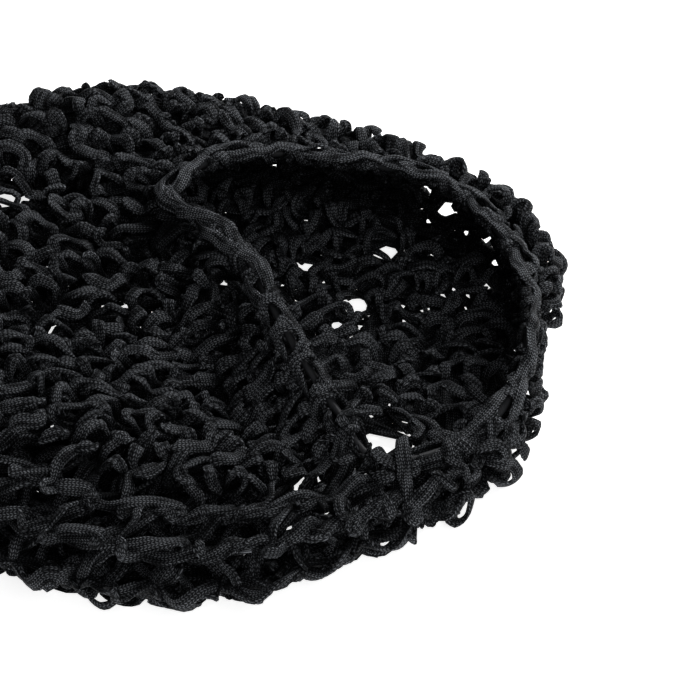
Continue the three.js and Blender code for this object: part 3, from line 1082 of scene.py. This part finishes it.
def elastic_material(name, settings):
    """Smooth covered elastic: a tight winding that hardly shows, satin."""
    shader = Shader(name)
    winding = (shader.map("ribbon") / WINDING).wave()
    spot = shader.add("ShaderNodeTexCoord", output="Object")
    shade = shader.noise(spot, COVER_SCALE, detail=2.0) * COVER_PATCHES + winding * COVER_WINDING
    dark, light = opaque(settings.colour, COVER_DARK), opaque(settings.colour, COVER_LIGHT)
    return shader.finish(
        {
            "Base Color": shader.mix(shade, dark, light),
            "Roughness": 0.5,
            "Specular IOR Level": settings.gloss,
            "Normal": shader.bump(winding, strength=0.25, distance=0.0001),
        }
    )


# Clouds on the table top to a metre, and the shade of the darkest
CLOUD_SCALE = 3.0
CLOUD_DARK = 0.98


def floor_material(name, settings):
    """A pale matt table top that gives off some light."""
    shader = Shader(name)
    spot = shader.add("ShaderNodeTexCoord", output="Object")
    cloud = shader.noise(spot, CLOUD_SCALE, detail=2.0)
    dark, light = opaque(settings.floor_colour, CLOUD_DARK), opaque(settings.floor_colour)
    return shader.finish(
        {
            "Base Color": shader.mix(cloud, dark, light),
            "Roughness": 0.8,
            "Specular IOR Level": 0.2,
            "Emission Color": light,
            "Emission Strength": settings.floor_glow,
        }
    )


def add_piece(mesh, material, node):
    """A finished mesh as a piece of the net that stands for a CAD node."""
    mesh.materials.append(material)
    piece = bpy.data.objects.new(mesh.name, mesh)
    bpy.context.scene.collection.objects.link(piece)
    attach(piece, BODY)
    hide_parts(node)


class NetSettings(PropertyGroup):
    """The net's ribbon, its stitches and its yarn"""

    ribbon_width: FloatProperty(
        name="Ribbon width", description="Width of the flat ribbon", default=0.0039, unit="LENGTH"
    )
    ribbon_thickness: FloatProperty(
        name="Ribbon thickness", description="Thickness of the plump ribbon", default=0.0016, unit="LENGTH"
    )
    stitch_length: FloatProperty(
        name="Stitch length", description="From one stitch to the next", default=0.0104, unit="LENGTH"
    )
    long_stitch_length: FloatProperty(
        name="Long stitch", description="Stitch length in the rows in front", default=0.022, unit="LENGTH"
    )
    row_height: FloatProperty(
        name="Row height", description="From one row to the next", default=0.0114, unit="LENGTH"
    )
    looseness: FloatProperty(
        name="Looseness",
        description="How unevenly the ribbon lies",
        default=1.0,
        min=0.0,
        max=3.0,
        subtype="FACTOR",
    )
    turning: FloatProperty(
        name="Turning",
        description="How far a stitch is turned in the net",
        default=math.radians(26),
        subtype="ANGLE",
    )
    relief: FloatProperty(
        name="Relief", description="How far the stitches stand up and dive in", default=1.25
    )
    seed: IntProperty(name="Seed", description="Start of the unevenness", default=11)
    knit_course: FloatProperty(
        name="Knit course", description="Knit stitch along the ribbon", default=0.0011, unit="LENGTH"
    )
    knit_column: FloatProperty(
        name="Knit column", description="Knit stitch across the ribbon", default=0.0014, unit="LENGTH"
    )
    # Painted shade between the knit stitches of the black yarn
    groove_shade_colour: FloatVectorProperty(
        name="Groove colour",
        description="Colour between knit stitches",
        default=(0.0006, 0.0007, 0.0009),
        subtype="COLOR",
    )
    # Painted highlight on the knit stitches, far lighter than the black yarn itself
    crest_highlight_colour: FloatVectorProperty(
        name="Crest colour",
        description="Colour on the knit stitches",
        default=(0.178, 0.188, 0.205),
        subtype="COLOR",
    )
    gloss: FloatProperty(
        name="Gloss", description="Specular level of the yarn", default=0.03, subtype="FACTOR"
    )
    # Painted shade: how light ribbon deep in the net is painted beside open ribbon
    painted_deep_shade: FloatProperty(
        name="Painted deep shade",
        description="How light ribbon deep in the net is beside the open ribbon",
        default=0.2,
        subtype="FACTOR",
    )


class EdgingSettings(PropertyGroup):
    """The ladder round the mouth"""

    ribbon_width: FloatProperty(
        name="Ribbon width", description="Width of the wound ribbon", default=0.0045, unit="LENGTH"
    )
    ribbon_thickness: FloatProperty(
        name="Ribbon thickness", description="Thickness of the ribbon", default=0.0014, unit="LENGTH"
    )
    half_width: FloatProperty(
        name="Half width", description="Half the width of the band", default=0.0041, unit="LENGTH"
    )
    half_height: FloatProperty(
        name="Half height", description="Half the height of the band", default=0.0026, unit="LENGTH"
    )
    holes: IntProperty(name="Holes", description="Holes of the ladder round the mouth", default=30)
    # Painted light: the edging's yarn is the net's yarn painted lighter, where the band catches the light
    painted_lightness: FloatProperty(
        name="Lightness", description="How light its tight ribbon is beside the net's", default=1.35
    )
    seed: IntProperty(name="Seed", description="Start of the unevenness", default=5)


class ElasticSettings(PropertyGroup):
    """The round elastic in the edging"""

    diameter: FloatProperty(
        name="Diameter", description="Diameter of the elastic", default=0.0029, unit="LENGTH"
    )
    sides: IntProperty(name="Sides", description="Sides of its cross-section", default=14)
    colour: FloatVectorProperty(
        name="Colour", description="Colour of the elastic", default=(0.032, 0.033, 0.036), subtype="COLOR"
    )
    gloss: FloatProperty(
        name="Gloss", description="Specular level of the elastic", default=0.15, subtype="FACTOR"
    )


class StageSettings(PropertyGroup):
    """The table, the lights and the camera"""

    floor_size: FloatProperty(
        name="Floor size", description="Side of the table top", default=30.0, unit="LENGTH"
    )
    floor_colour: FloatVectorProperty(
        name="Floor colour", description="Pale table", default=(0.93, 0.93, 0.93), subtype="COLOR"
    )
    floor_glow: FloatProperty(name="Floor glow", description="Light the floor gives off", default=0.85)
    target: FloatVectorProperty(
        name="Target",
        description="Point that the camera looks at",
        default=(0.0525, -0.0058, 0.012),
        subtype="TRANSLATION",
    )
    distance: FloatProperty(
        name="Distance", description="From the camera to its target", default=0.7, unit="LENGTH"
    )
    elevation: FloatProperty(
        name="Elevation", description="Camera above the horizon", default=math.radians(42), subtype="ANGLE"
    )
    lens: FloatProperty(name="Lens", description="Focal length", default=108.0, unit="CAMERA")
    world_light: FloatProperty(name="World light", description="Strength of the surroundings", default=0.15)
    key_power: FloatProperty(
        name="Key light", description="Power of the light behind on the right", default=5.0, unit="POWER"
    )
    fill_power: FloatProperty(
        name="Fill light", description="Power of the larger light in front", default=2.3, unit="POWER"
    )


class HAIRNET_OT_net(Operator):
    """Crochet the bag of the net, row by row"""

    bl_idname = "hairnet.net"
    bl_label = "Crochet Net"

    def execute(self, context):
        settings = context.scene.hair_net_bag
        material = knit_material("ribbon_yarn", settings)
        for order, piece in enumerate(NET_PIECES):
            rng = np.random.default_rng(settings.seed + order)
            ribbon = RibbonMesh()
            for number in range(piece.first, piece.last + 1):
                row = piece.kind(number, settings.row_height / MM)
                piece.work(RowWork(ribbon, row, settings, rng))
            add_piece(ribbon.build(piece.name), material, "net_bag")
        return {"FINISHED"}


def band_frames(shares):
    """Middle of the band, its directions across and out, and turns, at shares of the way round the mouth."""
    middle = BAG.rim - BAG.mouth_out * WALL / 2
    closed = np.concatenate([middle, middle[:1]])
    length = running_length(closed)
    turn = np.interp(shares % 1.0, length / length[-1], np.arange(TURNS + 1))

    def at(values):
        loop = np.concatenate([values, values[:1]])
        return np.column_stack([np.interp(turn, np.arange(TURNS + 1), loop[:, axis]) for axis in range(3)])

    return at(middle), unit(at(BAG.toward)), unit(at(BAG.mouth_out)), turn / TURNS


# Ribbons of the edging through one hole of its ladder. along: shares of the hole's length. across:
# millimetres from the elastic toward the net. out: millimetres out of the edging. width: shares of its width.
EdgeStep = namedtuple("EdgeStep", "along across out width")
NET_RAIL = [
    EdgeStep(0.00, 3.4, 2.2, 0.95),
    EdgeStep(0.28, 4.3, 1.5, 1.15),
    EdgeStep(0.52, 4.8, 1.0, 1.2),
    EdgeStep(0.78, 4.2, 1.8, 1.1),
]
MOUTH_RAIL = [
    EdgeStep(0.00, -3.3, 1.4, 0.75),
    EdgeStep(0.35, -3.9, 0.8, 0.6),
    EdgeStep(0.70, -3.8, 1.2, 0.7),
]
WRAP_DOWN = [
    EdgeStep(-0.05, 3.0, 2.7, 1.0),
    EdgeStep(0.06, 0.2, 3.3, 1.1),
    EdgeStep(0.15, -2.6, 2.4, 1.0),
    EdgeStep(0.24, -3.8, 0.0, 0.8),
    EdgeStep(0.36, -2.4, -2.3, 0.9),
    EdgeStep(0.50, 0.6, -2.8, 1.0),
    EdgeStep(0.66, 3.2, -1.8, 0.9),
    EdgeStep(0.84, 4.0, 0.8, 0.8),
]
WRAP_UP = [
    EdgeStep(-0.02, -2.8, 2.6, 0.9),
    EdgeStep(0.10, 0.2, 3.9, 1.1),
    EdgeStep(0.20, 2.9, 3.0, 1.0),
    EdgeStep(0.32, 4.0, 0.6, 0.8),
    EdgeStep(0.44, 2.4, -2.3, 0.9),
    EdgeStep(0.58, -0.6, -2.8, 1.0),
    EdgeStep(0.74, -3.2, -1.6, 0.9),
    EdgeStep(0.88, -4.0, 0.8, 0.8),
]
# Each ribbon, and how it lies where the elastic draws the ladder together instead of where it is stretched
Strand = namedtuple("Strand", "steps tight_across tight_out tight_width sways twist")
STRANDS = [
    Strand(NET_RAIL, 0.55, 0.8, 0.95, 1, 0.0),
    Strand(MOUTH_RAIL, 0.60, 1.4, 1.45, 1, 0.5),
    Strand(WRAP_DOWN, 0.95, -0.4, 0.95, 0, 0.0),
    Strand(WRAP_UP, 0.95, -0.9, 0.95, 0, 0.0),
]
# Where the ladder is drawn together: holes to one twist of its side ribbons, and how far they sway and rise
EDGE_TWIST = 2.3
EDGE_SWAY = 1.5
EDGE_LIFT = 0.8
# Sections between which the ladder is stretched
STRETCHED_SECTIONS = (12.2, 12.9, 14.7, 15.3)
# Unevenness from step to step, and from hole to hole along the mouth and as a share of the distance across
EDGE_UNEVEN = EdgeStep(0.0, 0.3, 0.25, 0.1)
HOLE_SHIFT = 0.05
HOLE_STRETCH = 0.08


class HAIRNET_OT_edging(Operator):
    """Wind the ladder edging round the mouth"""

    bl_idname = "hairnet.edging"
    bl_label = "Wind Edging"

    def execute(self, context):
        settings = context.scene.hair_net_edging
        rng = np.random.default_rng(settings.seed)
        ribbon = RibbonMesh()
        for strand in STRANDS:
            controls = self.controls(strand, settings, rng)
            along, across, out, width = smooth_steps(controls, STEP_PARTS).T
            middle, toward, outward, turn = band_frames(along / settings.holes)
            tight = 1 - np.interp(turn * len(SECTIONS), STRETCHED_SECTIONS, (0, 1, 1, 0))
            across = across * (1 + (strand.tight_across - 1) * tight)
            out = out + strand.tight_out * tight * np.sign(out)
            widths = width * (1 + (strand.tight_width - 1) * tight) * settings.ribbon_width / MM
            twist = (along / EDGE_TWIST + strand.twist) * math.tau
            across = across + np.sin(twist) * EDGE_SWAY * tight * strand.sways
            out = out + np.cos(twist) * EDGE_LIFT * tight * strand.sways - COVER_SINK * mouth_cover(turn)
            points = middle + toward * across[:, None] + outward * out[:, None]
            reach_across, reach_out = settings.half_width / MM, settings.half_height / MM
            face = toward * (across / reach_across**2)[:, None] + outward * (out / reach_out**2)[:, None]
            ribbon.sweep(points, face, widths, settings.ribbon_thickness / MM, out)
        # The same yarn as the net's, painted lighter where the band catches the light
        material = knit_material("edging_yarn", context.scene.hair_net_bag, settings.painted_lightness)
        add_piece(ribbon.build("mouth_edging"), material, "edge_band")
        return {"FINISHED"}

    def controls(self, strand, settings, rng):
        """Control values of one ribbon all round the mouth, uneven from hole to hole."""
        holes, steps = settings.holes, len(strand.steps)
        values = np.tile(np.array(strand.steps), (holes, 1, 1))
        along, across, out, width = np.moveaxis(values, 2, 0)
        along += np.arange(holes)[:, None] + rng.normal(0, HOLE_SHIFT, (holes, 1))
        across *= rng.normal(1, HOLE_STRETCH, (holes, 1))
        across += rng.normal(0, EDGE_UNEVEN.across, (holes, steps))
        out += rng.normal(0, EDGE_UNEVEN.out, (holes, steps))
        width *= rng.normal(1, EDGE_UNEVEN.width, (holes, steps))
        values = values.reshape(-1, len(EdgeStep._fields))
        last = values[:1].copy()
        last[:, 0] += holes
        return np.concatenate([values, last])


# Rings of the elastic's mesh, and an angle that keeps its first corner from counting as the last
ELASTIC_RINGS = 240
ANGLE_MARGIN = 1e-4


class HAIRNET_OT_elastic(Operator):
    """Lay the round elastic inside the edging"""

    bl_idname = "hairnet.elastic"
    bl_label = "Lay Elastic"

    def execute(self, context):
        settings = context.scene.hair_net_elastic
        middle, across, out, _ = band_frames(np.arange(ELASTIC_RINGS) / ELASTIC_RINGS)
        middle = middle * MM
        radius = settings.diameter / 2
        angles = [math.tau * n / settings.sides for n in range(settings.sides)]

        def place(corners, step):
            for vert, angle in zip(corners, angles):
                away = across[step] * math.cos(angle) + out[step] * math.sin(angle)
                vert.co = Vector(middle[step] + away * radius)

        bm = bmesh.new()
        layer = bm.loops.layers.uv.new("ribbon")
        place(bmesh.ops.create_circle(bm, segments=settings.sides, radius=radius)["verts"], 0)
        opening = edges = list(bm.edges)
        for step in range(1, ELASTIC_RINGS):
            made = bmesh.ops.extrude_edge_only(bm, edges=edges)["geom"]
            corners = [item for item in made if isinstance(item, bmesh.types.BMVert)]
            edges = [item for item in made if isinstance(item, bmesh.types.BMEdge)]
            edges = [edge for edge in edges if all(vert in corners for vert in edge.verts)]
            place(self.in_order(corners, middle[step - 1], across[step - 1], out[step - 1]), step)
        bmesh.ops.bridge_loops(bm, edges=edges + opening)
        bmesh.ops.recalc_face_normals(bm, faces=bm.faces)
        self.lay_map(bm, layer, middle)
        mesh = bpy.data.meshes.new("elastic")
        bm.to_mesh(mesh)
        bm.free()
        add_piece(mesh, elastic_material("elastic", settings), "elastic_cord")
        return {"FINISHED"}

    def in_order(self, corners, middle, across, out):
        """Corners of an extruded ring by their angle, because extruding doesn't promise their order."""

        def angle(vert):
            away = np.array(vert.co) - middle
            return (math.atan2(away @ out, away @ across) + ANGLE_MARGIN) % math.tau

        return sorted(corners, key=angle)

    def lay_map(self, bm, layer, middle):
        """Millimetres along the elastic in its map, which goes on past the last ring of corners."""
        pitch = np.linalg.norm(middle - np.roll(middle, 1, axis=0), axis=1).mean() / MM

        def nearest(point):
            return int(np.argmin(np.linalg.norm(middle - np.array(point), axis=1)))

        for face in bm.faces:
            face.smooth = True
            near = nearest(face.calc_center_median())
            for loop in face.loops:
                here = nearest(loop.vert.co)
                here += round((near - here) / ELASTIC_RINGS) * ELASTIC_RINGS
                loop[layer].uv = (here * pitch, 0.0)


# Lamps, aimed at the origin: where they stand and the side of their square, in metres
Lamp = namedtuple("Lamp", "name place size")
KEY_LAMP = Lamp("key", (0.32, 0.5, 0.44), 0.36)
FILL_LAMP = Lamp("fill", (0.36, -0.64, 0.58), 0.6)
# Sensor of the camera in millimetres, and the least distance that it sees in metres
SENSOR_WIDTH = 36.0
CLIP_START = 0.01
TABLE_SEGMENTS = 4


class HAIRNET_OT_stage(Operator):
    """Set the table, the lights and the camera"""

    bl_idname = "hairnet.stage"
    bl_label = "Set Stage"

    def execute(self, context):
        settings = context.scene.hair_net_stage
        self.lay_table(context, settings)
        world = bpy.data.worlds.new("studio")
        world.use_nodes = True
        background = world.node_tree.nodes["Background"]
        background.inputs["Color"].default_value = (1, 1, 1, 1)
        background.inputs["Strength"].default_value = settings.world_light
        context.scene.world = world
        self.light(context, KEY_LAMP, settings.key_power)
        self.light(context, FILL_LAMP, settings.fill_power)
        self.aim_camera(context, settings)
        context.scene.view_settings.view_transform = "Standard"
        context.scene.view_settings.look = "None"
        return {"FINISHED"}

    def lay_table(self, context, settings):
        """Lays the table top, level with the net's underside."""
        bm = bmesh.new()
        segments, half = TABLE_SEGMENTS, settings.floor_size / 2
        bmesh.ops.create_grid(bm, x_segments=segments, y_segments=segments, size=half)
        mesh = bpy.data.meshes.new("table_top")
        bm.to_mesh(mesh)
        bm.free()
        mesh.materials.append(floor_material("pale_table", settings))
        floor = bpy.data.objects.new("table_top", mesh)
        context.scene.collection.objects.link(floor)

    def aim_camera(self, context, settings):
        """Aims the camera at its target from in front and above."""
        camera = bpy.data.cameras.new("view")
        camera.lens = settings.lens
        camera.sensor_width = SENSOR_WIDTH
        camera.clip_start = CLIP_START
        viewer = bpy.data.objects.new("view", camera)
        away = Vector((0, -math.cos(settings.elevation), math.sin(settings.elevation)))
        viewer.location = Vector(settings.target) + away * settings.distance
        viewer.rotation_euler = (math.pi / 2 - settings.elevation, 0, 0)
        context.scene.collection.objects.link(viewer)
        context.scene.camera = viewer

    def light(self, context, lamp, power):
        """Adds one lamp of this power."""
        light = bpy.data.lights.new(lamp.name, "AREA")
        light.shape = "SQUARE"
        light.size = lamp.size
        light.energy = power
        holder = bpy.data.objects.new(lamp.name, light)
        holder.location = lamp.place
        aim = -Vector(lamp.place)
        holder.rotation_euler = aim.to_track_quat("-Z", "Y").to_euler()
        context.scene.collection.objects.link(holder)


OPERATORS = (HAIRNET_OT_net, HAIRNET_OT_edging, HAIRNET_OT_elastic, HAIRNET_OT_stage)
GROUPS = {
    "hair_net_bag": NetSettings,
    "hair_net_edging": EdgingSettings,
    "hair_net_elastic": ElasticSettings,
    "hair_net_stage": StageSettings,
}


class HAIRNET_PT_panel(Panel):
    """Steps and sizes of the hair net"""

    bl_label = "Hair Net"
    bl_idname = "HAIRNET_PT_panel"
    bl_space_type = "VIEW_3D"
    bl_region_type = "UI"
    bl_category = "Hair Net"

    def draw(self, context):
        for (attribute, group), operator in zip(GROUPS.items(), OPERATORS):
            box = self.layout.box()
            settings = getattr(context.scene, attribute)
            for name in group.__annotations__:
                box.prop(settings, name)
            box.operator(operator.bl_idname)


def register():
    for cls in (*GROUPS.values(), *OPERATORS, HAIRNET_PT_panel):
        bpy.utils.register_class(cls)
    for attribute, group in GROUPS.items():
        setattr(bpy.types.Scene, attribute, PointerProperty(type=group))


def unregister():
    for attribute in GROUPS:
        delattr(bpy.types.Scene, attribute)
    for cls in (HAIRNET_PT_panel, *reversed(OPERATORS), *reversed(list(GROUPS.values()))):
        bpy.utils.unregister_class(cls)


def main():
    register()
    bpy.ops.hairnet.stage()
    bpy.ops.hairnet.net()
    bpy.ops.hairnet.edging()
    bpy.ops.hairnet.elastic()


if __name__ == "__main__":
    main()
